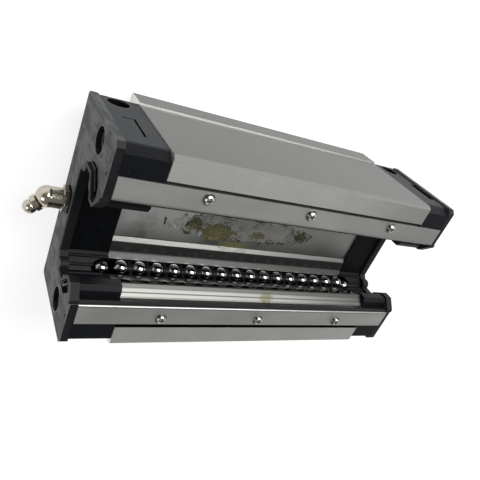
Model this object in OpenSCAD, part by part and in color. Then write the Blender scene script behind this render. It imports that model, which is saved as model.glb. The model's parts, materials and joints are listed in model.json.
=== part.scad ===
// Linear guide carriage: narrow, long, high block with caged balls.
// It stands upside down on its mounting face. +X runs along the rail away from the grease nipple,
// +Z points from the mounting face to the rail side, and +Y is the datum side.

/* [Block] */
// Width over the two datum strips
block_w = 100; // [90:1:130]
// Length of the steel block
block_l = 154; // [120:1:200]
// Height from the mounting face to the bottoms of the legs
block_h = 66.5; // [64:0.5:84]
// Height of the datum strip next to the mounting face
datum_h = 13.5; // [8:0.5:20]
// How far the datum strip stands out from the side face
datum_step = 0.8; // [0.3:0.1:2]
// Depth of the web's underside above the mounting face
web_h = 30.5; // [28:0.5:36]

/* [Mounting holes] */
// Distance between the mounting holes along the rail
mount_dx = 95; // [60:1:110]
// Distance between the mounting holes across the rail
mount_dy = 75; // [60:1:78]
// Wall diameter of the tapped mounting holes, M12
mount_d = 12; // [8:0.5:12]
// Depth of the mounting holes
mount_depth = 18; // [10:1:20]

/* [Rail] */
// Width of the rail head that the channel fits
rail_w = 53; // [48:0.5:56]
// Width of the rail's waist
waist_w = 37.2; // [30:0.2:42]
// Height of the rail's top above the mounting face plane
rail_top = 33; // [31:0.5:38]

/* [Balls] */
// Ball diameter
ball_d = 7.938; // [6.35:0.001:8.2]
// Balls in one load row
load_balls = 16; // [10:1:17]
// How far the near load row stands off its middle position at rest, along the rail
row_phase = 1.5; // [-2:0.1:2]
// Clearance between a ball and its raceway, on the radius
ball_clear = 0.1; // [0.05:0.01:0.2]

/* [End plates and seals] */
// Thickness of an end plate
plate_t = 19; // [17:0.5:24]
// Thickness of an end seal
seal_t = 3.5; // [2.5:0.1:5]
// How far the end plate's side lies inside the block's side face
plate_inset = 0.5; // [0.2:0.1:1.5]
// Height of the end plate's upper edge above the mounting face plane
plate_top = 11.2; // [4:0.1:14]
// Diameter of the side grease port
port_d = 10.5; // [6:0.1:11]
// Shank diameter of the end plate screws, M6
end_screw_d = 6; // [4:0.5:6]
// Distance between the two end plate screws
end_screw_dy = 81; // [76:0.5:84]

/* [Bottom seals] */
// Width of a steel seal strip
strip_w = 10.5; // [8:0.1:11]
// Thickness of a steel seal strip
strip_t = 2; // [1:0.1:2.4]
// Distance between the inner edges of the two strips
strip_gap = 52; // [51.5:0.1:54]
// Distance from the middle screw to the outer screws of a strip
strip_screw_dx = 56; // [30:1:66]

/* [Grease nipple] */
// Diameter of the nipple's round body
nipple_d = 10; // [8:0.1:11]
// Width across the flats of the nipple's hexagon
nipple_hex = 11; // [10:0.5:13]
// Diameter of the coupling head
head_d = 6.7; // [6.5:0.1:7]
// Angle of the coupling head from the nipple's own axis
elbow_angle = 45; // [0:5:90]

/* [Hidden] */
sides = ["left", "right"];
rows = ["web", "lip"];
parts_of_loop = ["load", "far_turn", "return", "near_turn"];
$fn = 64;
eps = 0.01;

// Places along the rail
x_block = block_l / 2;
x_plate = x_block + plate_t;
x_seal = x_plate + seal_t;

// Half widths
y_datum = block_w / 2;
y_side = y_datum - datum_step;
y_plate = y_side - plate_inset;
y_seal = y_plate + 0.8;
y_strip = strip_gap / 2;
y_strip_out = y_strip + strip_w;
y_recess = y_strip_out + 1.7;
y_channel_top = y_strip - 0.5;

// Heights on the rail side
z_strip = block_h - 0.4;
z_seat = z_strip - strip_t;
z_plate = block_h - 0.8;

// Rail profile: the head's upper and lower slopes meet its side, and the foot flares below the waist
y_head = rail_w / 2;
y_waist = waist_w / 2;
y_crown = y_head - 5.7;
z_head_top = rail_top + 5.9;
z_head_low = z_head_top + 8.1;
z_waist_top = z_head_low + (y_head - y_waist) * 0.96;
z_waist_low = z_waist_top + 5.2;

// Ball circuits: each turn is two pitches long, so its radius follows from the pitch
ball_r = ball_d / 2;
pitch = block_l / load_balls;
turn_r = 2 * pitch / PI;
groove_r = ball_r + ball_clear;
row_y = [y_head, y_head - 1.1];
row_z = [z_head_top - 2.5, z_head_low + 5];
return_lean = [-22.93, 11];
function lean(row) = return_lean[row];
// Unit vector in the YZ plane from the load row to the return row, and the belt's own side vector
function out_dir(row) = [cos(lean(row)), sin(lean(row))];
function load_at(row) = [row_y[row], row_z[row]];
function turn_at(row) = load_at(row) + turn_r * out_dir(row);
function return_at(row) = load_at(row) + 2 * turn_r * out_dir(row);

// Passages for balls and belt in the plastic parts
passage_r = ball_r + 0.43;
belt_in = ball_r + 0.18;
belt_t = 0.6;
belt_w = 2.2;
belt_slot = 4;
belt_reach = belt_in + belt_t + 0.25;
tube_r = belt_reach + 0.6;
tube_bore_clear = 0.08;
guide_half = belt_reach + 1.1;

// Grease ports
port_x = x_block + 10.7;
port_z = plate_top + port_d / 2 + 1.05;
nipple_z = plate_top + 10.5;
nipple_thread_d = 9.7;

// End plate screws
end_screw_y = end_screw_dy / 2;
end_screw_z = 44.5;
end_head_d = 10;
end_head_h = 6;
end_head_x = x_plate + 1.5;
thread_clear = 0.05;

// Strip screws
strip_screw_edge = 3.5;
strip_screw_y = y_strip_out - strip_screw_edge;
strip_screw_d = 3;
strip_head_d = 5.6;
strip_screw_l = 5.6;

// ---------------------------------------------------------------- helpers

// Extrudes an outline given in Y and Z along X, from x0 over a length
module along_x(x0, length) {
    translate([x0, 0, 0]) rotate([90, 0, 90]) linear_extrude(length) children();
}

// A round bar or hole along X
module rod_x(x0, length, r, y, z) {
    translate([x0, y, z]) rotate([0, 90, 0]) cylinder(h = length, r = r);
}

// Keeps an outline and adds its mirror image on the other side of the rail
module both_sides() {
    children();
    mirror([1, 0]) children();
}

// Closes a half outline, given for y > 0, with its own mirror image
function whole(half) = concat(half, [for (i = [len(half) - 1:-1:0]) [-half[i][0], half[i][1]]]);

module on_side(side) {
    if (side == "left") children();
    else mirror([0, 1, 0]) children();
}

// Turns a far-end part round to the near end
module at_end(end) {
    rotate([0, 0, end == "far" ? 0 : 180]) children();
}

// Places a child, drawn with its Y along out_dir and its Z along the belt's side, at a point of the YZ plane
module in_row(row, at) {
    translate([0, at[0], at[1]]) rotate([lean(row), 0, 0]) children();
}

// The same in two dimensions
module in_row_2d(row, at) {
    translate(at) rotate(lean(row)) children();
}

// Half of the rail's outline grown by a gap, for y > 0
function rail_half(gap) = [
    [y_crown + 0.4 * gap, rail_top - gap],
    [y_head + gap, z_head_top - 0.4 * gap],
    [y_head + gap, z_head_low + 0.4 * gap],
    [y_waist + gap, z_waist_top + 0.4 * gap],
    [y_waist + gap, z_waist_low - 0.4 * gap],
    [y_head + gap, z_waist_low + y_head - y_waist - 0.4 * gap],
    [y_head + gap, block_h + 6]
];

// ---------------------------------------------------------------- steel block

module block_outline() {
    polygon(whole([
        [y_datum - 0.5, 0], [y_datum, 0.5], [y_datum, datum_h], [y_side, datum_h],
        [y_side, block_h - 1.9], [y_side - 1.3, block_h]
    ]));
}

// Room for one ball row in the block: the raceway, and a slot for the belt's edge on the far side
module row_groove(row) {
    translate(load_at(row)) circle(r = groove_r);
    in_row_2d(row, load_at(row)) {
        square([belt_slot, 2 * belt_reach], center = true);
    }
}

module channel_outline() {
    nose_y = y_waist + 1.8;
    polygon(whole([
        [11.6, web_h], [14, web_h + 1], [19.5, web_h + 1.6],
        [row_y[0] - 2.6, row_z[0] - 2.7], load_at(0), [row_y[0] + 3.8, row_z[0] + 0.2],
        [row_y[0] + 3.8, row_z[1] - 0.2], load_at(1), [row_y[1] - 2.8, row_z[1] + 2.2],
        [nose_y + 0.5, z_waist_top + 0.1], [nose_y, z_waist_top + 0.8], [nose_y + 0.3, z_waist_top + 1.5],
        [y_strip - 1.2, z_waist_low + 0.5], [y_channel_top, z_waist_low + 0.9], [y_channel_top, block_h + 1]
    ]));
    both_sides() for (row = [0, 1]) row_groove(row);
}

module mounting_holes() {
    for (sx = [-1, 1], sy = [-1, 1])
        translate([sx * mount_dx / 2, sy * mount_dy / 2, -1])
            cylinder(h = mount_depth + 1, d = mount_d);
}

module block_bores() {
    for (sy = [-1, 1]) {
        for (row = [0, 1])
            rod_x(-x_block - 1, block_l + 2, tube_r + tube_bore_clear,
                sy * return_at(row)[0], return_at(row)[1]);
        for (sx = [-1, 1])
            rod_x(sx > 0 ? x_block - 22 : -x_block - 1, 23, end_screw_d / 2 + thread_clear,
                sy * end_screw_y, end_screw_z);
        for (i = [-1, 0, 1])
            translate([i * strip_screw_dx, sy * strip_screw_y, z_seat - strip_screw_l + strip_t])
                cylinder(h = 20, d = strip_screw_d + 2 * thread_clear);
    }
}

module carriage_block() {
    color([0.56, 0.56, 0.54])
    difference() {
        along_x(-x_block, block_l) block_outline();
        along_x(-x_block - 1, block_l + 2) {
            channel_outline();
            translate([-y_recess, z_seat]) square([2 * y_recess, block_h]);
        }
        mounting_holes();
        block_bores();
    }
}

// ---------------------------------------------------------------- end plates

module plate_outline() {
    polygon(whole([
        [y_plate - 1, plate_top], [y_plate, plate_top + 1], [y_plate, z_plate - 5.5], [y_plate - 3, z_plate]
    ]));
}

module plate_channel() {
    nose_y = y_waist + 0.9;
    nose_z = z_waist_low - 0.3;
    polygon(whole([
        [y_crown, rail_top - 1.3], [y_head + 1.2, z_head_top - 0.4],
        [y_head + 1.2, z_head_low + 0.4], [nose_y, z_waist_top + 0.5], [nose_y, nose_z],
        [nose_y + 2.4, nose_z + 1.5], [y_channel_top, nose_z + 1.7], [y_channel_top, block_h]
    ]));
}

// Cross-section of the passage that a row and its belt run through
module passage_outline() {
    circle(r = passage_r);
    square([belt_slot, 2 * belt_reach], center = true);
}

// Half ring round the turn's own axis, at the far end
module turn_ring(row) {
    translate([x_block, 0, 0]) in_row(row, turn_at(row))
        rotate([0, 0, -90]) rotate_extrude(angle = 180) translate([turn_r, 0]) children();
}

// The half drum that an inner ball guide is cut from
module guide_drum(row, r, half) {
    translate([x_block, 0, 0]) in_row(row, turn_at(row)) intersection() {
        translate([0, 0, -half]) cylinder(h = 2 * half, r = r);
        translate([0, -20, -20]) cube([40, 40, 40]);
    }
}

module side_groove(side_sign, x_leg, x_end, width, depth) {
    z_start = plate_top + 23.2;
    z_leg = 18;
    y0 = side_sign > 0 ? y_plate - depth : -y_plate - 1;
    translate([x_block + x_leg - width / 2, y0, z_start]) cube([width, depth + 1, z_leg]);
    translate([x_block + min(x_leg, x_end), y0, z_start]) cube([abs(x_end - x_leg), depth + 1, width]);
}

module plate_ports() {
    for (sy = [-1, 1]) {
        translate([port_x, sy * (y_plate - 6), port_z]) rotate([-sy * 90, 0, 0]) cylinder(h = 8, d = port_d);
        translate([port_x, sy * (y_plate - 10), port_z]) rotate([-sy * 90, 0, 0]) cylinder(h = 8, d = port_d - 2.4);
    }
    translate([port_x, -y_plate + 5, port_z]) rotate([-90, 0, 0]) cylinder(h = 2 * y_plate - 10, r = 1.5);
    for (sy = [-1, 1])
        translate([port_x - 6, sy * turn_at(0)[0], port_z]) cylinder(h = turn_at(0)[1] - port_z, r = 1.2);
    translate([x_block + 4.1, -turn_at(0)[0], port_z]) rotate([-90, 0, 0])
        cylinder(h = 2 * turn_at(0)[0], r = 1.2);
    rod_x(x_block + 3, plate_t, nipple_thread_d / 2 + thread_clear, 0, nipple_z);
}

module scoop_ribs() {
    rib_r = 0.8;
    for (k = [0.2, 0.68]) {
        y = y_crown + 0.6 + k * (y_head - y_crown + 0.6);
        z = rail_top - 0.9 + k * (z_head_top - rail_top + 0.5);
        rod_x(x_block, plate_t, rib_r, y, z);
    }
    rod_x(x_block, plate_t, rib_r, y_head + 1.25, z_head_top + 1.8);
}

module end_plate(end) {
    color([0.13, 0.14, 0.15])
    at_end(end) difference() {
        union() {
            difference() {
                along_x(x_block, plate_t) plate_outline();
                along_x(x_block - 1, plate_t + 2) plate_channel();
            }
            for (side = sides) on_side(side) scoop_ribs();
        }
        along_x(x_block - 1, plate_t + 2)
            both_sides() translate([y_channel_top - 1, z_seat]) square([y_strip_out + 1.2 - y_channel_top, 10]);
        for (side = sides) on_side(side) for (row = [0, 1]) {
            guide_drum(row, turn_r + 0.05, guide_half + 0.05);
            turn_ring(row) passage_outline();
        }
        for (sy = [-1, 1]) {
            rod_x(x_block - 1, plate_t + 2, end_screw_d / 2 + 0.25, sy * end_screw_y, end_screw_z);
            rod_x(end_head_x - end_head_h, 20, end_head_d / 2 + 0.5, sy * end_screw_y, end_screw_z);
        }
        plate_ports();
        side_groove(1, 15.6, 13.2, 4.4, 2.2);
        side_groove(-1, 8, 13.5, 1.1, 0.9);
    }
}

module ball_guides(end) {
    color([0.2, 0.21, 0.22])
    at_end(end) for (side = sides) on_side(side) for (row = [0, 1])
        difference() {
            guide_drum(row, turn_r, guide_half);
            turn_ring(row) passage_outline();
        }
}

// ---------------------------------------------------------------- seals

module seal_outline() {
    round_r = 2.5;
    difference() {
        translate([-y_seal, plate_top + 0.4]) square([2 * y_seal, z_plate - plate_top - 0.6]);
        for (sy = [-1, 1]) {
            translate([sy * y_seal, z_plate - 0.2]) rotate(45) square(round_r * 1.2, center = true);
            translate([sy * y_seal, plate_top + 0.4]) rotate(45) square(1.6, center = true);
        }
    }
}

module rail_outline(gap) {
    polygon(whole(rail_half(gap)));
}

lip_band = 1.4;
lip_proud = 1.2;

// Long pocket beside the lip at the rail's shoulder, with a ridge along its middle
module seal_pocket() {
    outer_y = y_head + 5;
    difference() {
        polygon([
            [y_head + 1.9, z_head_top + 1.2], [outer_y - 1.4, z_head_top + 3.2], [outer_y, z_head_top + 7],
            [outer_y, z_waist_top - 3], [y_waist + 8, z_waist_low - 2.4], [y_waist + 4, z_waist_low - 1.4],
            [y_waist + 2, z_waist_low - 2.2], [y_waist + 2, z_waist_top + 0.5], [y_head + 1.9, z_head_low + 0.6]
        ]);
        polygon([
            [y_head + 2.6, z_head_top + 2], [y_head + 3.5, z_head_top + 3.6], [y_head + 3.5, z_head_low + 1.5],
            [y_waist + 5, z_waist_top + 0.8], [y_waist + 4.2, z_waist_top + 0.1], [y_head + 2.6, z_head_low + 1]
        ]);
    }
}

module end_seal(end) {
    color([0.28, 0.29, 0.3])
    at_end(end) difference() {
        along_x(x_plate, seal_t) difference() {
            seal_outline();
            rail_outline(lip_band);
        }
        for (sy = [-1, 1]) rod_x(x_plate - 1, seal_t + 2, end_head_d / 2 + 0.8, sy * end_screw_y, end_screw_z);
        rod_x(x_plate - 1, seal_t + 2, nipple_hex / 2 + 1.3, 0, nipple_z);
        along_x(x_seal - 2, 3) both_sides() seal_pocket();
        // Small marks near the leg bottoms
        for (sy = [-1, 1]) rod_x(x_seal - 1, 2, 0.7, sy * (y_strip + 9), z_plate - 3.5);
    }
}

module end_seal_lip(end) {
    bulge_r = ball_r - 0.5;
    lip_t = seal_t - 0.2 + lip_proud;
    color([0.1, 0.1, 0.11])
    at_end(end) along_x(x_plate + 0.2, lip_t) difference() {
        rail_outline(lip_band);
        difference() {
            rail_outline(0.15);
            both_sides() for (row = [0, 1]) translate(load_at(row) - 0.4 * [1, 0]) circle(r = bulge_r);
        }
        translate([-60, z_plate - 0.4]) square([120, 20]);
    }
}

module bottom_strip(side) {
    length = 2 * x_plate;
    round_r = 0.9;
    color([0.6, 0.6, 0.58])
    on_side(side) difference() {
        union() {
            translate([-x_plate, y_strip + round_r, z_seat]) cube([length, strip_w - round_r, strip_t]);
            translate([-x_plate, y_strip, z_seat]) cube([length, 2 * round_r, strip_t - round_r]);
            rod_x(-x_plate, length, round_r, y_strip + round_r, z_strip - round_r);
        }
        for (i = [-1, 0, 1])
            translate([i * strip_screw_dx, strip_screw_y, z_seat - 1])
                cylinder(h = strip_t + 2, d = strip_screw_d + 0.4);
    }
}

module bottom_lip(side) {
    color([0.12, 0.12, 0.13])
    on_side(side) along_x(-x_plate, 2 * x_plate) polygon([
        [y_strip, z_strip - 1], [y_strip - 0.5, z_strip - 1], [y_strip - 1.3, z_seat - 0.2],
        [y_strip - 1, z_seat - 0.5], [y_strip - 0.6, z_seat + 0.1], [y_strip, z_seat + 0.1]
    ]);
}

// ---------------------------------------------------------------- screws

module end_screws(end) {
    socket_af = 5;
    color([0.22, 0.22, 0.23])
    at_end(end) for (sy = [-1, 1]) difference() {
        union() {
            rod_x(end_head_x - end_head_h, end_head_h, end_head_d / 2, sy * end_screw_y, end_screw_z);
            rod_x(x_block - 20, end_head_x - end_head_h - x_block + 20 + eps, end_screw_d / 2,
                sy * end_screw_y, end_screw_z);
        }
        translate([end_head_x - 3, sy * end_screw_y, end_screw_z]) rotate([0, 90, 0])
            cylinder(h = 4, d = socket_af / cos(30), $fn = 6);
    }
}

module strip_screw() {
    head_h = 2;
    dome_r = 3.2;
    difference() {
        union() {
            translate([0, 0, -strip_screw_l]) cylinder(h = strip_screw_l + eps, d = strip_screw_d);
            intersection() {
                cylinder(h = head_h, d = strip_head_d);
                translate([0, 0, head_h - dome_r]) sphere(r = dome_r);
            }
        }
        for (turn = [0, 90]) rotate([0, 0, turn])
            translate([-1.5, -0.3, head_h - 1.1]) cube([3, 0.6, 2]);
    }
}

module strip_screws(side) {
    color([0.75, 0.76, 0.76])
    on_side(side) for (i = [-1, 0, 1])
        translate([i * strip_screw_dx, strip_screw_y, z_strip]) strip_screw();
}

// ---------------------------------------------------------------- retainers and return tubes

module retainer(side) {
    face_y = y_head + 0.7;
    rail_gap = 0.4;
    back_y = row_y[0] + 3.8;
    gap = ball_clear + 0.15;
    color([0.16, 0.16, 0.17])
    on_side(side) along_x(-x_block, block_l) difference() {
        polygon([
            [face_y, row_z[0] + 1.6], [face_y, z_head_low + rail_gap], [y_head - 2.5, z_head_low + 2.9 + rail_gap],
            [y_head - 2.5, row_z[1] - 0.2], [back_y, row_z[1] - 0.2], [back_y, row_z[0] + 1.6]
        ]);
        for (row = [0, 1]) {
            translate(load_at(row)) circle(r = ball_r + gap);
            in_row_2d(row, load_at(row)) square([belt_slot, 2 * belt_reach], center = true);
        }
    }
}

module return_tube(row, side) {
    color([0.3, 0.31, 0.33])
    on_side(side) along_x(-x_block, block_l) difference() {
        translate(return_at(row)) circle(r = tube_r);
        in_row_2d(row, return_at(row)) passage_outline();
    }
}

// ---------------------------------------------------------------- ball circuits

function phase(row, side) = rows[row] == "web" && side == "right" ? row_phase : 0;

// Balls of the straight rows lie at whole pitches, half a pitch in from each end of the block
function straight_x(shift) = [for (i = [0:load_balls - 1]) (i - (load_balls - 1) / 2) * pitch + shift];

module straight_row(row, side, shift, at) {
    on_side(side) for (x = straight_x(shift)) in_row(row, at) translate([x, 0, 0]) children();
}

// Two places in a turn, a quarter and three quarters of the way round, moved on by the phase
module turn_row(row, side, end, shift) {
    angle = shift / turn_r * 180 / PI;
    middle = end == "far" ? x_block : -x_block;
    on_side(side) for (a = [45, 135])
        translate([middle, 0, 0]) in_row(row, turn_at(row))
            rotate([0, 0, end == "far" ? a + angle - 90 : a + angle + 90])
                translate([turn_r, 0, 0]) rotate([0, 0, 90]) children();
}

module ball() {
    sphere(r = ball_r);
}

module load_balls_of(row, side) straight_row(row, side, phase(row, side), load_at(row)) ball();
module return_balls_of(row, side) straight_row(row, side, -phase(row, side), return_at(row)) ball();
module turn_balls_of(row, side, end) turn_row(row, side, end, phase(row, side)) ball();

module ball_group(row, side, group) {
    color([0.8, 0.8, 0.8]) {
        if (group == "load") load_balls_of(row, side);
        if (group == "return") return_balls_of(row, side);
        if (group == "far_turn") turn_balls_of(row, side, "far");
        if (group == "near_turn") turn_balls_of(row, side, "near");
    }
}

// Spacer between two neighbouring balls, centred half-way between them, dished for both
module spacer_body() {
    spacer_r = ball_r * 0.6;
    spacer_l = pitch - ball_d + 1.3;
    web_w = 2;
    translate([-spacer_l / 2, 0, 0]) rotate([0, 90, 0]) cylinder(h = spacer_l, r = spacer_r);
    translate([-0.8, -web_w / 2, -belt_in - belt_t / 2]) cube([1.6, web_w, 2 * belt_in + belt_t]);
}

module straight_cage(row, side, shift, at) {
    end_gap = 0.3;
    length = block_l - 2 * end_gap;
    last = load_balls - 1;
    on_side(side) in_row(row, at) difference() {
        union() {
            for (sz = [-1, 1])
                translate([shift - length / 2, -belt_w / 2, sz > 0 ? belt_in : -belt_in - belt_t])
                    cube([length, belt_w, belt_t]);
            for (i = [0:last - 1])
                translate([(i + 1 - load_balls / 2) * pitch + shift, 0, 0]) spacer_body();
        }
        for (x = straight_x(shift)) translate([x, 0, 0]) sphere(r = ball_r + 0.08);
    }
}

module turn_cage(row, side, end, shift) {
    angle = shift / turn_r * 180 / PI;
    end_angle = 3;
    middle = end == "far" ? x_block : -x_block;
    on_side(side) translate([middle, 0, 0]) in_row(row, turn_at(row))
        rotate([0, 0, (end == "far" ? -90 : 90) + angle]) difference() {
            union() {
                for (sz = [-1, 1])
                    rotate([0, 0, end_angle]) rotate_extrude(angle = 180 - 2 * end_angle)
                        translate([turn_r - belt_w / 2, sz > 0 ? belt_in : -belt_in - belt_t])
                            square([belt_w, belt_t]);
                rotate([0, 0, 90]) translate([turn_r, 0, 0]) rotate([0, 0, 90]) spacer_body();
            }
            for (a = [45, 135]) rotate([0, 0, a]) translate([turn_r, 0, 0]) sphere(r = ball_r + 0.08);
        }
}

module cage(row, side, group) {
    shift = phase(row, side);
    color([0.09, 0.09, 0.1]) {
        if (group == "load") straight_cage(row, side, shift, load_at(row));
        if (group == "return") straight_cage(row, side, -shift, return_at(row));
        if (group == "far_turn") turn_cage(row, side, "far", shift);
        if (group == "near_turn") turn_cage(row, side, "near", shift);
    }
}

// ---------------------------------------------------------------- grease nipple

nipple_seat_x = x_plate;
hex_end = 6.1;
elbow_x = 12.7;
head_at = 8.8;
tip_at = head_at + head_d / 2 - 0.45;
nipple_bore_r = 1.45;
seat_hole_r = 0.95;
seat_depth = 0.8;
check_r = 1.3;
check_at = tip_at - seat_depth - sqrt(check_r * check_r - seat_hole_r * seat_hole_r) - 0.02;
spring_seat = 3.2;

// The nipple's own frame: origin on its axis at the end plate's outer face, +X leading away from the plate
module nipple_frame() {
    translate([-nipple_seat_x, 0, nipple_z]) rotate([0, 0, 180]) children();
}

// The head's frame: origin at the elbow's centre, +Z along the coupling head
module head_frame() {
    nipple_frame() translate([elbow_x, 0, 0]) rotate([0, 0, elbow_angle]) rotate([0, 90, 0]) children();
}

module nipple_body() {
    collar_at = 5.0;
    color([0.72, 0.69, 0.62])
    difference() {
        union() {
            nipple_frame() {
                rod_x(-9, 9 + eps, nipple_thread_d / 2, 0, 0);
                rotate([0, 90, 0]) cylinder(h = hex_end, d = nipple_hex / cos(30), $fn = 6);
                rod_x(hex_end - eps, elbow_x - hex_end, nipple_d / 2, 0, 0);
                translate([elbow_x, 0, 0]) sphere(d = nipple_d + 0.3);
            }
            head_frame() {
                cylinder(h = head_at, r = 2.5);
                translate([0, 0, collar_at - 0.6]) cylinder(h = 2.2, r = 3.9);
                intersection() {
                    translate([0, 0, head_at]) sphere(d = head_d);
                    cylinder(h = tip_at, r = head_d);
                }
            }
        }
        nipple_frame() rod_x(-10, elbow_x + 10, nipple_bore_r, 0, 0);
        head_frame() {
            cylinder(h = tip_at + 1, r = seat_hole_r);
            translate([0, 0, spring_seat]) cylinder(h = tip_at - seat_depth - spring_seat, r = nipple_bore_r);
        }
    }
}

module nipple_check_ball() {
    color([0.8, 0.8, 0.8]) head_frame() translate([0, 0, check_at]) sphere(r = check_r);
}

// Spring wire swept along a helix, one ring of points for each step
spring_r = 1.0;
wire_r = 0.16;
spring_turns = 6;
ring_steps = 12;
wire_sides = 6;
spring_low = spring_seat + wire_r + 0.02;
spring_top = check_at - check_r - wire_r - 0.02;
spring_rings = spring_turns * ring_steps + 1;

function helix_point(i, k) =
    let (
        a = 360 * i / ring_steps,
        b = 360 * k / wire_sides,
        r = spring_r + wire_r * cos(b),
        z = spring_low + (spring_top - spring_low) * i / (spring_rings - 1) + wire_r * sin(b)
    )
    [r * cos(a), r * sin(a), z];

module nipple_spring() {
    points = [for (i = [0:spring_rings - 1], k = [0:wire_sides - 1]) helix_point(i, k)];
    side_faces = [for (i = [0:spring_rings - 2], k = [0:wire_sides - 1])
        let (n = (k + 1) % wire_sides)
        [i * wire_sides + k, i * wire_sides + n, (i + 1) * wire_sides + n, (i + 1) * wire_sides + k]];
    start_face = [[for (k = [wire_sides - 1:-1:0]) k]];
    end_face = [[for (k = [0:wire_sides - 1]) (spring_rings - 1) * wire_sides + k]];
    color([0.7, 0.7, 0.7]) head_frame() polyhedron(points, concat(side_faces, start_face, end_face));
}

// ---------------------------------------------------------------- the parts

carriage_block();
end_plate("near");  // end_plate_near
end_plate("far");  // end_plate_far
ball_guides("near");  // ball_guides_near
ball_guides("far");  // ball_guides_far
end_seal("near");  // end_seal_near
end_seal("far");  // end_seal_far
end_seal_lip("near");  // end_seal_lip_near
end_seal_lip("far");  // end_seal_lip_far
end_screws("near");  // end_screws_near
end_screws("far");  // end_screws_far
bottom_strip("left");  // bottom_strip_left
bottom_strip("right");  // bottom_strip_right
bottom_lip("left");  // bottom_lip_left
bottom_lip("right");  // bottom_lip_right
strip_screws("left");  // strip_screws_left
strip_screws("right");  // strip_screws_right
retainer("left");  // retainer_left
retainer("right");  // retainer_right
return_tube(0, "left");  // return_tube_web_left
return_tube(1, "left");  // return_tube_lip_left
return_tube(0, "right");  // return_tube_web_right
return_tube(1, "right");  // return_tube_lip_right
nipple_body();
nipple_check_ball();
nipple_spring();
ball_group(0, "left", "load");  // balls_web_left_load
ball_group(0, "left", "far_turn");  // balls_web_left_far_turn
ball_group(0, "left", "return");  // balls_web_left_return
ball_group(0, "left", "near_turn");  // balls_web_left_near_turn
ball_group(1, "left", "load");  // balls_lip_left_load
ball_group(1, "left", "far_turn");  // balls_lip_left_far_turn
ball_group(1, "left", "return");  // balls_lip_left_return
ball_group(1, "left", "near_turn");  // balls_lip_left_near_turn
ball_group(0, "right", "load");  // balls_web_right_load
ball_group(0, "right", "far_turn");  // balls_web_right_far_turn
ball_group(0, "right", "return");  // balls_web_right_return
ball_group(0, "right", "near_turn");  // balls_web_right_near_turn
ball_group(1, "right", "load");  // balls_lip_right_load
ball_group(1, "right", "far_turn");  // balls_lip_right_far_turn
ball_group(1, "right", "return");  // balls_lip_right_return
ball_group(1, "right", "near_turn");  // balls_lip_right_near_turn
cage(0, "left", "load");  // cage_web_left_load
cage(0, "left", "far_turn");  // cage_web_left_far_turn
cage(0, "left", "return");  // cage_web_left_return
cage(0, "left", "near_turn");  // cage_web_left_near_turn
cage(1, "left", "load");  // cage_lip_left_load
cage(1, "left", "far_turn");  // cage_lip_left_far_turn
cage(1, "left", "return");  // cage_lip_left_return
cage(1, "left", "near_turn");  // cage_lip_left_near_turn
cage(0, "right", "load");  // cage_web_right_load
cage(0, "right", "far_turn");  // cage_web_right_far_turn
cage(0, "right", "return");  // cage_web_right_return
cage(0, "right", "near_turn");  // cage_web_right_near_turn
cage(1, "right", "load");  // cage_lip_right_load
cage(1, "right", "far_turn");  // cage_lip_right_far_turn
cage(1, "right", "return");  // cage_lip_right_return
cage(1, "right", "near_turn");  // cage_lip_right_near_turn
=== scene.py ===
"""Looks of the linear guide carriage: materials, lights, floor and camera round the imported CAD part."""

import json
import math

import bpy
from mathutils import Matrix, Vector


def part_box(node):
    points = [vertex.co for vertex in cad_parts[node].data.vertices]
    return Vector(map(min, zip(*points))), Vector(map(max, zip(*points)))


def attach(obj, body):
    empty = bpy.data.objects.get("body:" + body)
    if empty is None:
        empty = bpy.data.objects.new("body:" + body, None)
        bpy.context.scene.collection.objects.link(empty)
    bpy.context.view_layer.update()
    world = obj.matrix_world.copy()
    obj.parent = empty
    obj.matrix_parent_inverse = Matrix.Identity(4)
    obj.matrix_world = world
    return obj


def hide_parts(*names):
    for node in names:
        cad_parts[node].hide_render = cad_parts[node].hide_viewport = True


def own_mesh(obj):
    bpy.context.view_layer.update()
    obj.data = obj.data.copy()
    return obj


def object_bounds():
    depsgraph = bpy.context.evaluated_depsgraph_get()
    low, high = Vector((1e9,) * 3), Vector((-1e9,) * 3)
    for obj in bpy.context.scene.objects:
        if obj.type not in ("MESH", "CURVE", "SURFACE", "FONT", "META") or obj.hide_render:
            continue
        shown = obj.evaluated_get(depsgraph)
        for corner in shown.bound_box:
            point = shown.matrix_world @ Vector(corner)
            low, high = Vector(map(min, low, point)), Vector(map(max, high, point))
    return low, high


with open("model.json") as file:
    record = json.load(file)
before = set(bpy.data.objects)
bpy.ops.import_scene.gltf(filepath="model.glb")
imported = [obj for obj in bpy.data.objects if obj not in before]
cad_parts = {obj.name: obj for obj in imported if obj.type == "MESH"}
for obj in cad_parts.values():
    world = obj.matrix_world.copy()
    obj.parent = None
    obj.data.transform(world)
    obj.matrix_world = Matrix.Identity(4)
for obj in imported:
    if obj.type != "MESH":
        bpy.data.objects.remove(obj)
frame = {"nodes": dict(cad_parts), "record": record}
cad_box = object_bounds()
nodes = frame["nodes"]

MM = 0.001


# ---------------------------------------------------------------- node helpers


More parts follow.
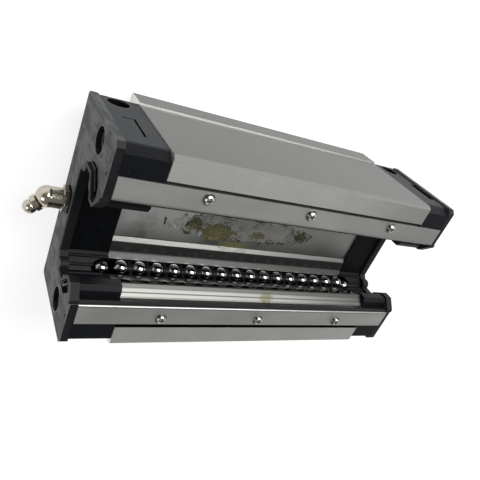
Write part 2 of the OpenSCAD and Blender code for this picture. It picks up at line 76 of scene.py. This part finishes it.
class Look:
    """A material under construction, with short calls for its nodes. Lengths are in millimetres."""

    def __init__(self, name, color, metallic=0.0, roughness=0.5, **sockets):
        self.material = bpy.data.materials.new(name)
        self.material.use_nodes = True
        self.tree = self.material.node_tree
        self.shader = self.tree.nodes["Principled BSDF"]
        self.shader.inputs["Base Color"].default_value = (*color, 1)
        self.shader.inputs["Metallic"].default_value = metallic
        self.shader.inputs["Roughness"].default_value = roughness
        for socket, value in sockets.items():
            self.shader.inputs[socket.replace("_", " ")].default_value = value
        self.where = self.new("ShaderNodeTexCoord").outputs["Object"]
        self.xyz = self.new("ShaderNodeSeparateXYZ", Vector=self.scaled((1 / MM,) * 3)).outputs

    def new(self, kind, **inputs):
        node = self.tree.nodes.new(kind)
        for name, value in inputs.items():
            self.feed(node.inputs[name.replace("_", " ")], value)
        return node

    def feed(self, socket, value):
        """Links a socket to another one's output, or sets its number or colour."""
        if isinstance(value, bpy.types.NodeSocket):
            self.tree.links.new(value, socket)
        elif isinstance(value, tuple) and len(value) == 3 and socket.type == "RGBA":
            socket.default_value = (*value, 1)
        else:
            socket.default_value = value

    def scaled(self, factors):
        node = self.new("ShaderNodeVectorMath", Vector=self.where)
        node.operation = "MULTIPLY"
        node.inputs[1].default_value = factors
        return node.outputs["Vector"]

    def normals(self):
        """The X, Y and Z of the surface normal."""
        geometry = self.new("ShaderNodeNewGeometry")
        return self.new("ShaderNodeSeparateXYZ", Vector=geometry.outputs["Normal"]).outputs

    def noise(self, size, stretch=(1, 1, 1), detail=3.0, roughness=0.55, distortion=0.0, seed=0.0):
        """Noise whose features are about size millimetres, longer along an axis by its stretch."""
        vector = self.scaled(tuple(1 / (MM * size * s) for s in stretch))
        node = self.new("ShaderNodeTexNoise", Vector=vector, Scale=1.0, Detail=detail, Roughness=roughness,
                        Distortion=distortion)
        node.noise_dimensions = "4D"
        node.inputs["W"].default_value = seed
        return node.outputs["Fac"]

    def math(self, operation, a, b=0.0):
        node = self.new("ShaderNodeMath")
        node.operation = operation
        self.feed(node.inputs[0], a)
        self.feed(node.inputs[1], b)
        return node.outputs[0]

    def add(self, a, b):
        return self.math("ADD", a, b)

    def less(self, a, b):
        return self.math("SUBTRACT", a, b)

    def times(self, a, b):
        return self.math("MULTIPLY", a, b)

    def size_of(self, a):
        return self.math("ABSOLUTE", a)

    def rises(self, value, low, high):
        """0 below low, 1 above high, smooth between. It falls instead if low is above high."""
        falls = low > high
        node = self.new("ShaderNodeMapRange", Value=value)
        node.interpolation_type = "SMOOTHSTEP"
        node.inputs["From Min"].default_value = min(low, high)
        node.inputs["From Max"].default_value = max(low, high)
        node.inputs["To Min"].default_value = 1.0 if falls else 0.0
        node.inputs["To Max"].default_value = 0.0 if falls else 1.0
        return node.outputs["Result"]

    def span(self, value, low, high, soft=0.1):
        """1 while value is between low and high, 0 once it is more than soft outside."""
        return self.both(self.rises(value, low - soft, low), self.rises(value, high + soft, high))

    def blob(self, center, radii, raggedness, seed):
        """1 inside a ragged oval on the XY plane, and 1 along the inside of its outline."""
        dx = self.math("DIVIDE", self.less(self.xyz[0], center[0]), radii[0])
        dy = self.math("DIVIDE", self.less(self.xyz[1], center[1]), radii[1])
        square = self.add(self.times(dx, dx), self.times(dy, dy))
        torn = self.noise(min(radii) * 0.7, detail=7, roughness=0.68, distortion=1.2, seed=seed)
        # The field is about 1 on the outline, pushed in and out by the noise
        field = self.add(square, self.times(self.less(torn, 0.5), 5 * raggedness))
        return self.rises(field, 1.06, 0.96), self.span(field, 0.86, 1.0, 0.1)

    def blobs(self, places):
        """The same two masks for several ovals together."""
        pairs = [self.blob(*place) for place in places]
        inside, outline = (self.either(*masks) for masks in zip(*pairs))
        return inside, outline

    def ring(self, a, b, center, radius, width):
        """1 on a ring of that inner radius in the plane of the lengths a and b."""
        da = self.less(a, center[0])
        db = self.less(b, center[1])
        away = self.math("SQRT", self.add(self.times(da, da), self.times(db, db)))
        return self.span(away, radius, radius + width, 0.12)

    def both(self, *masks):
        result = masks[0]
        for mask in masks[1:]:
            result = self.times(result, mask)
        return result

    def either(self, *masks):
        result = masks[0]
        for mask in masks[1:]:
            result = self.math("MAXIMUM", result, mask)
        return result

    def mix(self, factor, a, b):
        """Colour a where factor is 0, colour b where it is 1."""
        node = self.tree.nodes.new("ShaderNodeMix")
        node.data_type = "RGBA"
        self.feed(node.inputs["Factor"], factor)
        self.feed(node.inputs[6], a)
        self.feed(node.inputs[7], b)
        return node.outputs[2]

    def blend(self, factor, a, b):
        """The same for plain numbers."""
        node = self.tree.nodes.new("ShaderNodeMix")
        node.data_type = "FLOAT"
        self.feed(node.inputs["Factor"], factor)
        self.feed(node.inputs[2], a)
        self.feed(node.inputs[3], b)
        return node.outputs[0]

    def shade(self, color, amount, pattern):
        """A colour darkened by amount where the pattern is 0, and lightened by it where the pattern is 1."""
        low = tuple(c * (1 - amount) for c in color)
        high = tuple(min(1.0, c * (1 + amount)) for c in color)
        return self.mix(pattern, low, high)

    def bump(self, height, depth):
        """A bump of about depth millimetres."""
        node = self.new("ShaderNodeBump", Height=height, Strength=1.0, Distance=depth * MM)
        return node.outputs["Normal"]

    def out(self, **sockets):
        for name, value in sockets.items():
            self.feed(self.shader.inputs[name.replace("_", " ")], value)
        return self.material


# ---------------------------------------------------------------- places on the part, in millimetres

block_low, block_high = (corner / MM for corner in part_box("carriage_block"))
strip_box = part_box("bottom_strip_left")
leg_inner = min(abs(corner.y) for corner in strip_box) / MM
strip_outer = max(abs(corner.y) for corner in strip_box) / MM
row_box = [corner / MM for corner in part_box("balls_web_left_load")]
row_y = (row_box[0].y + row_box[1].y) / 2
row_z = (row_box[0].z + row_box[1].z) / 2
pitch = (block_high.x - block_low.x) / 16

# Distances from the middle plane, outwards
SLOPE_START = 11
FILLET_BAND = (11.9, 13.6)
BALL_REFLECTION_BAND = (17.2, 18.4)
SHINE_BAND = (20.6, 23.6)
SIDE_Y = 47
PLATE_SIDE_Y = 48

# Distances from leg_inner: towards the middle plane on the land, away from it on the strip
LAND_SHADE = (4.6, 3.2)
LAND_LINES = ((2.6, 2.3), (4.2, 4.0))
STRIP_EDGE = (1.4, 0.7)

# Where a tone changes along X
WIPE_X = (-20, -45)
SHINE_X = (-60, 60)
GLOW_X = (-60, 50)
LAND_SHADE_X = (10, 75)
FAR_SHADE_X = (-10, 95)

DATUM_STRIP_TOP = 13.4
PORT_PAST_BLOCK = 10.7
PORT_Z = 17.5
PORT_R = 5.25
SEAL_CHAMFER = 2.1
RECESS_MARGIN = 0.8
RUBBER_FRONT_X = 100

# The label's rest, its glue, its tears and a spot of oil: centre, radii, raggedness and seed
LABEL = ((-7, 0), (45, 7.5), 0.5, 19)
GLUE = (((-22.5, -3), (10.5, 5.2), 0.9, 21), ((-9, -11), (10, 3.4), 1.0, 22), ((4, -2.4), (5, 2.2), 1.6, 23))
TEARS = (((-36, 0.4), (4.6, 4.2), 1.7, 24), ((33.3, 0.3), (4.2, 3.8), 1.7, 25))
OIL_SPOT = ((5, -23.5), (4, 2.2), 2.0, 31)


# ---------------------------------------------------------------- materials

STEEL = (0.68, 0.68, 0.645)
SIDE_STEEL = (0.155, 0.155, 0.148)
STRIP_STEEL = (0.58, 0.58, 0.555)


def polished_web(look, color, on_web, smoke):
    """The web between the ball rows is polished, smoky, and wiped bright at its near end."""
    smoked = (0.36, 0.36, 0.35)
    wiped = (0.92, 0.92, 0.89)
    wipe = look.both(look.rises(look.xyz[0], *WIPE_X), look.rises(smoke, 0.34, 0.5))
    color = look.mix(look.both(on_web, look.blend(smoke, 0.05, 0.5)), color, smoked)
    return look.mix(look.both(on_web, look.times(wipe, 0.85)), color, wiped)


def web_slopes(look, color, across, slope):
    """The slopes beside the web are painted dark as shade, with painted reflections of the balls as dots and
    painted highlights along a band and along the fillet, which fade towards the far end.
    """
    slope_shade_steel = (0.155, 0.155, 0.15)
    ball_reflection_steel = (0.3, 0.3, 0.29)
    shine_near = (0.33, 0.33, 0.32)
    shine_far = (0.22, 0.22, 0.21)
    glow_near = (0.46, 0.46, 0.445)
    glow_far = (0.34, 0.34, 0.33)
    x, _, z = look.xyz
    brushed = look.noise(2, stretch=(14, 1, 1), seed=29)
    # Painted shade: the slopes' base tone is dark
    color = look.mix(slope, color, look.shade(slope_shade_steel, 0.3, brushed))
    # Painted reflections of the balls: dots one ball pitch apart
    dots = look.math("SINE", look.times(look.add(x, 3.3), 2 * math.pi / pitch))
    ball_reflections = look.both(look.rises(dots, 0.5, 1), look.span(across, *BALL_REFLECTION_BAND, 0.7))
    color = look.mix(look.both(slope, look.times(ball_reflections, 0.5)), color, ball_reflection_steel)

    # Painted highlight along a band, darker towards the far end
    shine = look.both(slope, look.span(across, *SHINE_BAND, 0.9))
    color = look.mix(shine, color, look.mix(look.rises(x, *SHINE_X), shine_near, shine_far))

    # Painted highlight along the fillet, darker towards the far end
    fillet = look.both(look.span(across, *FILLET_BAND, 0.9), look.rises(z, row_z - 4, row_z - 4.2))
    glow = look.mix(look.rises(x, *GLOW_X), glow_near, glow_far)
    streaks = look.noise(1.5, stretch=(12, 1, 1), seed=30)
    return look.mix(fillet, color, look.mix(streaks, glow, glow_far))


def label_rest(look, color, on_web):
    """The rest of a label on the web: colour, film, crinkle, what is stuck on, and what is raised."""
    paper = (0.42, 0.42, 0.38)
    paper_crease = (0.06, 0.058, 0.04)
    paper_rim = (0.08, 0.078, 0.055)
    glue_brown = (0.1, 0.092, 0.035)
    glue_yellow = (0.2, 0.18, 0.09)
    glue_crease = (0.03, 0.028, 0.012)
    tear_dark = (0.025, 0.026, 0.014)
    tear_yellow = (0.2, 0.2, 0.1)
    crinkle = look.noise(3.0, stretch=(1.8, 1, 1), detail=3.5, distortion=2.4, seed=13)
    ridges = look.rises(look.size_of(look.less(crinkle, 0.5)), 0.045, 0.005)
    patchy = look.rises(look.noise(7, detail=3, seed=14), 0.42, 0.56)
    label, label_rim = look.blob(*LABEL)
    glue, glue_rim = look.blobs(GLUE)
    tears, _ = look.blobs(TEARS)

    film = look.both(on_web, label)
    creased = look.both(ridges, look.blend(patchy, 0.25, 1.0))
    color = look.mix(look.times(film, 0.5), color, look.shade(paper, 0.2, crinkle))
    color = look.mix(look.both(film, creased), color, paper_crease)
    color = look.mix(look.both(on_web, label_rim, patchy), color, paper_rim)

    color = look.mix(look.both(on_web, glue), color, look.mix(crinkle, glue_brown, glue_yellow))
    glue_creases = look.both(on_web, look.either(glue_rim, look.both(glue, ridges)))
    color = look.mix(look.times(glue_creases, 0.8), color, glue_crease)
    color = look.mix(look.both(on_web, tears), color, look.mix(ridges, tear_dark, tear_yellow))

    stuck = look.both(on_web, look.either(glue, tears))
    raised = look.both(on_web, look.either(label, glue, tears), look.add(crinkle, ridges))
    return color, film, crinkle, stuck, raised


def leg_land(look, color, across, cloudy):
    """The land inside each leg: bright, with two fine lines and a spot of oil, with painted shade towards the
    ball rows and towards the far end.
    """
    near = (0.19, 0.19, 0.18)
    far = (0.11, 0.11, 0.105)
    shaded = (0.07, 0.07, 0.067)
    clouded = (0.1, 0.1, 0.09)
    line_steel = (0.06, 0.06, 0.055)
    oil = (0.06, 0.056, 0.015)
    x, _, z = look.xyz
    land = look.both(look.rises(across, row_y, row_y - 1), look.rises(z, row_z + 12, row_z + 14))
    # Painted shade: the land darkens towards the far end
    tone = look.mix(look.rises(x, *LAND_SHADE_X), near, far)
    # Painted shade on the land towards the ball rows
    inner = look.rises(across, leg_inner - LAND_SHADE[0], leg_inner - LAND_SHADE[1])
    tone = look.mix(inner, shaded, tone)
    color = look.mix(land, color, look.mix(look.blend(cloudy, 0, 0.25), tone, clouded))
    lines = [look.span(across, leg_inner - low, leg_inner - high, 0.15) for low, high in LAND_LINES]
    color = look.mix(look.both(land, look.either(*lines)), color, line_steel)
    spot = look.both(land, look.blob(*OIL_SPOT)[0])
    return look.mix(look.times(spot, 0.6), color, oil)


def ground_steel():
    race_shade_black = (0.025, 0.025, 0.025)
    gap_shade_black = (0.01, 0.01, 0.01)
    far_shade_steel = (0.34, 0.34, 0.32)
    pit_steel = (0.1, 0.1, 0.09)
    look = Look("ground_steel", STEEL, metallic=1.0, roughness=0.42)
    x, y, z = look.xyz
    across = look.size_of(y)
    normal = look.normals()
    fine = look.noise(0.4, stretch=(45, 1, 1), detail=2)
    cloudy = look.noise(22, detail=4, seed=3)
    smoke = look.noise(16, stretch=(1.6, 1, 1), detail=5, distortion=0.6, seed=11)

    side = look.both(look.rises(look.size_of(normal[1]), 0.6, 0.9), look.rises(across, SIDE_Y, SIDE_Y + 1))
    color = look.shade(STEEL, 0.12, cloudy)
    color = look.mix(side, color, look.shade(SIDE_STEEL, 0.07, cloudy))
    datum_strip = look.both(look.span(z, 0, DATUM_STRIP_TOP, 0.1), side)
    color = look.mix(datum_strip, color, look.shade(SIDE_STEEL, 0.2, cloudy))

    web = look.both(look.rises(across, row_y - 3, row_y - 4), look.rises(z, row_z, row_z - 2))
    on_web = look.both(web, look.rises(normal[2], 0.9, 0.97))
    slope = look.both(look.rises(across, row_y - 1.5, row_y - 2.5), look.rises(z, row_z - 1.5, row_z - 2),
                      look.rises(across, SLOPE_START, SLOPE_START + 0.3))
    color = polished_web(look, color, on_web, smoke)
    color = web_slopes(look, color, across, slope)
    color, film, crinkle, stuck, raised = label_rest(look, color, on_web)
    color = leg_land(look, color, across, cloudy)

    # Painted shade: the raceways are painted near black, and so is the gap between the leg and its bottom
    # strip
    race = look.both(look.span(across, row_y - 2.8, row_y + 8, 0.4), look.span(z, row_z - 8, row_z + 20, 0.4))
    color = look.mix(race, color, race_shade_black)
    gutter = look.both(look.span(across, leg_inner, strip_outer + 1.75, 0.05),
                       look.span(z, block_high.z - 5, block_high.z - 0.35, 0.1))
    color = look.mix(gutter, color, gap_shade_black)

    # Painted shade: the bottom of the leg on the +Y side darkens towards +X
    bottom = look.rises(z, block_high.z - 0.4, block_high.z - 0.2)
    far_shade = look.both(look.rises(x, *FAR_SHADE_X), look.rises(y, 30, 31), bottom)
    color = look.mix(look.times(far_shade, 0.8), color, look.shade(far_shade_steel, 0.05, cloudy))
    pits = look.rises(look.noise(1.6, detail=4, seed=7), 0.66, 0.74)
    color = look.mix(look.times(pits, 0.5), color, pit_steel)

    rough = look.blend(fine, 0.38, 0.5)
    rough = look.blend(web, rough, look.blend(smoke, 0.2, 0.42))
    rough = look.blend(slope, rough, 0.32)
    rough = look.blend(film, rough, look.blend(crinkle, 0.25, 0.6))
    rough = look.blend(stuck, rough, 0.28)
    rough = look.blend(race, rough, 0.25)
    height = look.add(look.times(fine, 0.12), raised)
    return look.out(Base_Color=color, Metallic=look.blend(stuck, 1.0, 0.15), Roughness=rough,
                    Normal=look.bump(height, 0.12))


def strip_steel():
    """The bottom strips: satin, with a darker inner edge, and painted shade towards the far end on the +Y
    side.
    """
    far_shade_steel = (0.36, 0.36, 0.345)
    edge_steel = (0.33, 0.33, 0.32)
    look = Look("strip_steel", STRIP_STEEL, metallic=1.0, roughness=0.4)
    x, y, _ = look.xyz
    across = look.size_of(y)
    fine = look.noise(0.35, stretch=(60, 1, 1), detail=2)
    wear_and_highlight = look.noise(9, stretch=(3, 1, 1), detail=4, seed=1)
    lines = look.noise(0.8, stretch=(90, 1, 3), detail=1, seed=4)
    inner_edge = look.rises(across, leg_inner + STRIP_EDGE[0], leg_inner + STRIP_EDGE[1])
    # Painted shade towards the far end on the +Y side
    far_shade = look.both(look.rises(x, *FAR_SHADE_X), look.rises(y, 10, 11))
    plain = look.mix(look.times(far_shade, 0.6), look.shade(STRIP_STEEL, 0.1, wear_and_highlight), far_shade_steel)
    tone = look.mix(inner_edge, plain, look.shade(edge_steel, 0.12, lines))
    rough = look.blend(inner_edge, look.blend(wear_and_highlight, 0.36, 0.5), 0.38)
    return look.out(Base_Color=tone, Roughness=rough, Normal=look.bump(fine, 0.006))


def black_plastic():
    """The end plates: black inside, with painted shade deep in the channel, greyer on their outer sides, with
    scratches and a painted highlight ring round each grease port.
    """
    color = (0.0035, 0.004, 0.005)
    channel_shade_black = (0.0012, 0.0016, 0.0024)
    side_grey = (0.018, 0.0205, 0.0225)
    wear_and_highlight_grey = (0.09, 0.09, 0.09)
    look = Look("black_plastic", color, roughness=0.45, Specular_IOR_Level=0.12)
    x, y, z = look.xyz
    grain = look.noise(0.3, detail=2)
    marks = look.noise(14, detail=5, seed=2)
    scratch = look.rises(look.noise(1.3, stretch=(0.5, 1, 7), detail=3, seed=6), 0.64, 0.72)
    side = look.rises(look.size_of(y), PLATE_SIDE_Y, PLATE_SIDE_Y + 0.5)
    # Painted shade: blacker on the web's side of the ball rows, deep in the channel
    below_rows = look.rises(z, row_z - 1, row_z - 3)
    tone = look.mix(below_rows, look.shade(color, 0.35, marks), channel_shade_black)
    tone = look.mix(side, tone, look.shade(side_grey, 0.25, marks))
    # Painted highlight: a pale ring round each grease port; the scratches are real wear
    port = look.ring(look.size_of(x), z, (block_high.x + PORT_PAST_BLOCK, PORT_Z), PORT_R, 0.35)
    wear_and_highlight = look.either(look.times(scratch, 0.3), look.both(side, port))
    tone = look.mix(wear_and_highlight, tone, wear_and_highlight_grey)
    return look.out(Base_Color=tone, Roughness=look.blend(marks, 0.4, 0.58), Normal=look.bump(grain, 0.015))


def seal_plate():
    """The end seals' plates: scuffed, with a painted sheen, and painted highlights in patches along the edges
    and round the screw recesses.
    """
    color = (0.023, 0.0255, 0.028)
    scuffed_grey = (0.14, 0.145, 0.15)
    wear_and_highlight_grey = (0.17, 0.175, 0.18)
    top_black = (0.004, 0.0045, 0.006)
    look = Look("seal_plate", color, roughness=0.5, Specular_IOR_Level=0.25)
    _, y, z = look.xyz
    across = look.size_of(y)
    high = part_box("end_seal_near")[1] / MM
    beside = look.less(across, high.y)
    over = look.less(z, high.z)
    corner = look.times(look.add(look.add(beside, over), SEAL_CHAMFER), math.sqrt(0.5))
    past_outline = look.math("MAXIMUM", look.math("MAXIMUM", beside, over), corner)

    grain = look.noise(0.4, detail=2)
    marks = look.noise(11, detail=5, seed=5)
    scuffs = look.noise(2.2, stretch=(1, 1, 2.5), detail=5, distortion=0.8, seed=8)
    pale = look.both(look.rises(scuffs, 0.54, 0.64), look.rises(marks, 0.44, 0.56))
    # Painted sheen: lighter colour in patches where the roughness is lower
    sheen = look.noise(8, stretch=(1, 0.7, 1.6), detail=3, distortion=1.2, seed=9)
    sheen = look.rises(sheen, 0.4, 0.6)
    tone = look.mix(look.times(pale, 0.25), look.shade(color, 0.17, sheen), scuffed_grey)

    normal = look.normals()
    face = look.rises(look.size_of(normal[0]), 0.5, 0.8)
    screw_low, screw_high = (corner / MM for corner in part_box("end_screws_near"))
    head_r = (screw_high.z - screw_low.z) / 2
    head_center = (screw_high.y - head_r, screw_low.z + head_r)
    # Painted highlights: pale rims round the screw recesses and, in patches, along the plate's edges
    recess = look.ring(across, z, head_center, head_r + RECESS_MARGIN, 0.5)
    edge = look.both(look.rises(past_outline, -0.6, -0.3), look.rises(marks, 0.35, 0.5))
    wear_and_highlight = look.both(face, look.either(edge, recess))
    tone = look.mix(look.times(wear_and_highlight, 0.7), tone, wear_and_highlight_grey)
    tone = look.mix(look.rises(normal[2], 0.4, 0.7), tone, top_black)
    return look.out(Base_Color=tone, Roughness=look.blend(sheen, 0.56, 0.42), Normal=look.bump(grain, 0.02))


def seal_rubber():
    """All rubber lips, greyer where an end lip stands out in front."""
    color = (0.005, 0.005, 0.006)
    front_grey = (0.055, 0.057, 0.06)
    look = Look("seal_rubber", color, roughness=0.6, Specular_IOR_Level=0.2)
    grain = look.noise(0.6, detail=3)
    front = look.rises(look.size_of(look.xyz[0]), RUBBER_FRONT_X, RUBBER_FRONT_X + 0.5)
    tone = look.mix(front, look.shade(color, 0.3, grain), look.shade(front_grey, 0.3, grain))
    return look.out(Base_Color=tone, Roughness=look.blend(grain, 0.5, 0.7), Normal=look.bump(grain, 0.02))


def bright_screw():
    """The strip screws, with painted shade in the cross and round the edge of the head."""
    color = (0.66, 0.66, 0.63)
    recess_shade_steel = (0.08, 0.08, 0.075)
    look = Look("bright_screw", color, metallic=1.0, roughness=0.22)
    marks = look.noise(0.8, detail=3)
    # Painted shade below the head's top: in the cross and round its edge
    deep = look.rises(look.xyz[2], block_high.z + 1.0, block_high.z + 0.75)
    tone = look.mix(deep, look.shade(color, 0.2, marks), look.shade(recess_shade_steel, 0.3, marks))
    return look.out(Base_Color=tone, Roughness=look.blend(marks, 0.14, 0.32))


def ball_steel():
    """Polished balls with oil on them, with painted shade on the rows nearer the ends of the legs."""
    oily = (0.25, 0.245, 0.24)
    wiped = (0.36, 0.36, 0.36)
    lip_row_shade_steel = (0.03, 0.03, 0.028)
    look = Look("ball_steel", (0.5, 0.5, 0.5), metallic=1.0, roughness=0.06)
    oil = look.noise(2.5, detail=3)
    # Painted shade on the ball rows nearer the ends of the legs
    lip_row = look.rises(look.xyz[2], row_z + 7, row_z + 9)
    tone = look.mix(lip_row, look.mix(oil, oily, wiped), lip_row_shade_steel)
    return look.out(Base_Color=tone, Roughness=look.blend(oil, 0.04, 0.12))


def one_noise(name, color, amount, rough, size, stretch=(1, 1, 1), detail=3, **base):
    """A plain material: one noise shades its colour by amount and moves its roughness between two values."""
    look = Look(name, color, **base)
    marks = look.noise(size, stretch=stretch, detail=detail)
    return look.out(Base_Color=look.shade(color, amount, marks), Roughness=look.blend(marks, *rough))


def guide_plastic():
    return one_noise("guide_plastic", (0.02, 0.02, 0.022), 0.2, (0.3, 0.5), 3, roughness=0.4)


def dark_screw():
    return one_noise("dark_screw", (0.3, 0.3, 0.29), 0.4, (0.22, 0.45), 1.2, metallic=1.0, roughness=0.35)


def retainer_plastic():
    color = (0.012, 0.012, 0.013)
    return one_noise("retainer_plastic", color, 0.3, (0.1, 0.25), 4, stretch=(4, 1, 1), roughness=0.15)


def cage_plastic():
    color = (0.0025, 0.0025, 0.003)
    return one_noise("cage_plastic", color, 0.3, (0.45, 0.6), 2, roughness=0.5, Specular_IOR_Level=0.15)


def nickel_plate():
    color = (0.5, 0.46, 0.385)
    return one_noise("nickel_plate", color, 0.25, (0.08, 0.28), 2, detail=4, metallic=1.0, roughness=0.15)


def spring_steel():
    color = (0.5, 0.5, 0.5)
    return one_noise("spring_steel", color, 0.2, (0.2, 0.4), 0.5, detail=2, metallic=1.0, roughness=0.3)


# Each is named after its slot in the record
MAKERS = (ground_steel, strip_steel, black_plastic, guide_plastic, seal_plate, seal_rubber, dark_screw,
          bright_screw, retainer_plastic, cage_plastic, ball_steel, nickel_plate, spring_steel)

finishes = {make.__name__: make() for make in MAKERS}
for part in frame["record"]["subparts"]:
    part_materials = nodes[part["node"]].data.materials
    part_materials.clear()
    part_materials.append(finishes[part["material_slot"]])


# ---------------------------------------------------------------- the nipple's spring


def make_spring():
    """The nipple's spring, which the check ball pushes shorter on the real part, copied with a mesh of its
    own and attached to the carriage.
    """
    mesh = nodes["nipple_spring"].data.copy()
    spring = bpy.data.objects.new("check_spring", mesh)
    bpy.context.scene.collection.objects.link(spring)
    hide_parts("nipple_spring")
    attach(spring, "carriage")
    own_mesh(spring)


make_spring()


# ---------------------------------------------------------------- floor, light and camera, in metres

FLOOR_HALF = 4
CEILING_HALF = 2.5
CEILING_Z = 1.1
FLOOR_GREY = 0.3
CEILING_GREY = 0.1
CEILING_GLOW = 0.2
SKY_ON_PART = 0.3
PART_MIDDLE = (0, 0, 0.04)


def white_to_the_eye(tree, strength):
    """The strength, for rays straight from the camera, a mirror or glass, and 0 for all others."""
    path = tree.nodes.new("ShaderNodeLightPath")
    total = path.outputs["Is Camera Ray"]
    for output in ("Is Glossy Ray", "Is Transmission Ray"):
        add = tree.nodes.new("ShaderNodeMath")
        add.operation = "ADD"
        add.use_clamp = True
        tree.links.new(total, add.inputs[0])
        tree.links.new(path.outputs[output], add.inputs[1])
        total = add.outputs[0]
    scale = tree.nodes.new("ShaderNodeMath")
    scale.operation = "MULTIPLY"
    tree.links.new(total, scale.inputs[0])
    if isinstance(strength, bpy.types.NodeSocket):
        tree.links.new(strength, scale.inputs[1])
    else:
        scale.inputs[1].default_value = strength
    return scale.outputs[0]


def make_world():
    """A white sky that lights the part only weakly."""
    world = bpy.data.worlds.new("studio")
    bpy.context.scene.world = world
    world.use_nodes = True
    tree = world.node_tree
    back = tree.nodes["Background"]
    mix = tree.nodes.new("ShaderNodeMix")
    mix.data_type = "FLOAT"
    mix.inputs[2].default_value = SKY_ON_PART
    mix.inputs[3].default_value = 1.0
    tree.links.new(white_to_the_eye(tree, 1.0), mix.inputs["Factor"])
    tree.links.new(mix.outputs[0], back.inputs["Strength"])
    back.inputs["Color"].default_value = (1, 1, 1, 1)


def matt_square(name, corners, height, material_name, grey):
    """A square of matt grey that can glow white. Returns it with its material's nodes and shader."""
    mesh = bpy.data.meshes.new(name)
    mesh.from_pydata([(x, y, height) for x, y in corners], [], [(0, 1, 2, 3)])
    square = bpy.data.objects.new(name, mesh)
    bpy.context.scene.collection.objects.link(square)
    material = bpy.data.materials.new(material_name)
    material.use_nodes = True
    mesh.materials.append(material)
    shader = material.node_tree.nodes["Principled BSDF"]
    shader.inputs["Base Color"].default_value = (grey, grey, grey, 1)
    shader.inputs["Roughness"].default_value = 1.0
    shader.inputs["Emission Color"].default_value = (1, 1, 1, 1)
    return square, material.node_tree, shader


def make_floor():
    """A floor under the part, whiter with distance so that no horizon shows."""
    low, _ = cad_box
    half = FLOOR_HALF
    corners = [(-half, -half), (half, -half), (half, half), (-half, half)]
    floor, tree, shader = matt_square("floor", corners, low.z, "floor_white", FLOOR_GREY)
    shader.inputs["Specular IOR Level"].default_value = 0.0
    away = tree.nodes.new("ShaderNodeVectorMath")
    away.operation = "LENGTH"
    tree.links.new(tree.nodes.new("ShaderNodeTexCoord").outputs["Object"], away.inputs[0])
    whiter = tree.nodes.new("ShaderNodeMapRange")
    for socket, value in (("From Min", 0.3), ("From Max", 1.3), ("To Min", 0.8), ("To Max", 1.0)):
        whiter.inputs[socket].default_value = value
    tree.links.new(away.outputs["Value"], whiter.inputs["Value"])
    tree.links.new(white_to_the_eye(tree, whiter.outputs["Result"]), shader.inputs["Emission Strength"])


def make_ceiling():
    """A plain grey ceiling over the table, out of the camera's sight, for the metal to reflect."""
    half = CEILING_HALF
    corners = [(-half, -half), (-half, half), (half, half), (half, -half)]
    ceiling, _, shader = matt_square("ceiling", corners, CEILING_Z, "ceiling_grey", CEILING_GREY)
    ceiling.visible_camera = False
    shader.inputs["Emission Strength"].default_value = CEILING_GLOW


def area_light(name, place, target, size, watts):
    data = bpy.data.lights.new(name, "AREA")
    data.shape = "RECTANGLE"
    data.size, data.size_y = size
    data.energy = watts
    lamp = bpy.data.objects.new(name, data)
    lamp.location = place
    lamp.rotation_euler = (Vector(target) - Vector(place)).to_track_quat("-Z", "Y").to_euler()
    bpy.context.scene.collection.objects.link(lamp)


def make_camera():
    """The viewing angle, lens and framing of the photograph."""
    data = bpy.data.cameras.new("camera")
    data.sensor_width = 36
    data.lens = 38.07
    data.shift_x = 0.0004
    data.shift_y = 0.0044
    data.clip_start = 0.01
    camera = bpy.data.objects.new("camera", data)
    right = Vector((0.83655, 0.37170, 0.40252))
    up = Vector((-0.09238, 0.81984, -0.56509))
    back = Vector((-0.54005, 0.43555, 0.72017))
    place = Matrix((right, up, back)).transposed().to_4x4()
    place.translation = Vector((-157.8, 115.32, 233.67)) * MM
    camera.matrix_world = place
    bpy.context.scene.collection.objects.link(camera)
    bpy.context.scene.camera = camera


make_world()
make_floor()
make_ceiling()
area_light("key", (0.19, 0.51, 0.62), PART_MIDDLE, (0.7, 0.42), 9)
area_light("fill", (-0.6, -0.15, 0.5), PART_MIDDLE, (0.3, 0.3), 1.2)
make_camera()
bpy.context.scene.view_settings.view_transform = "Standard"
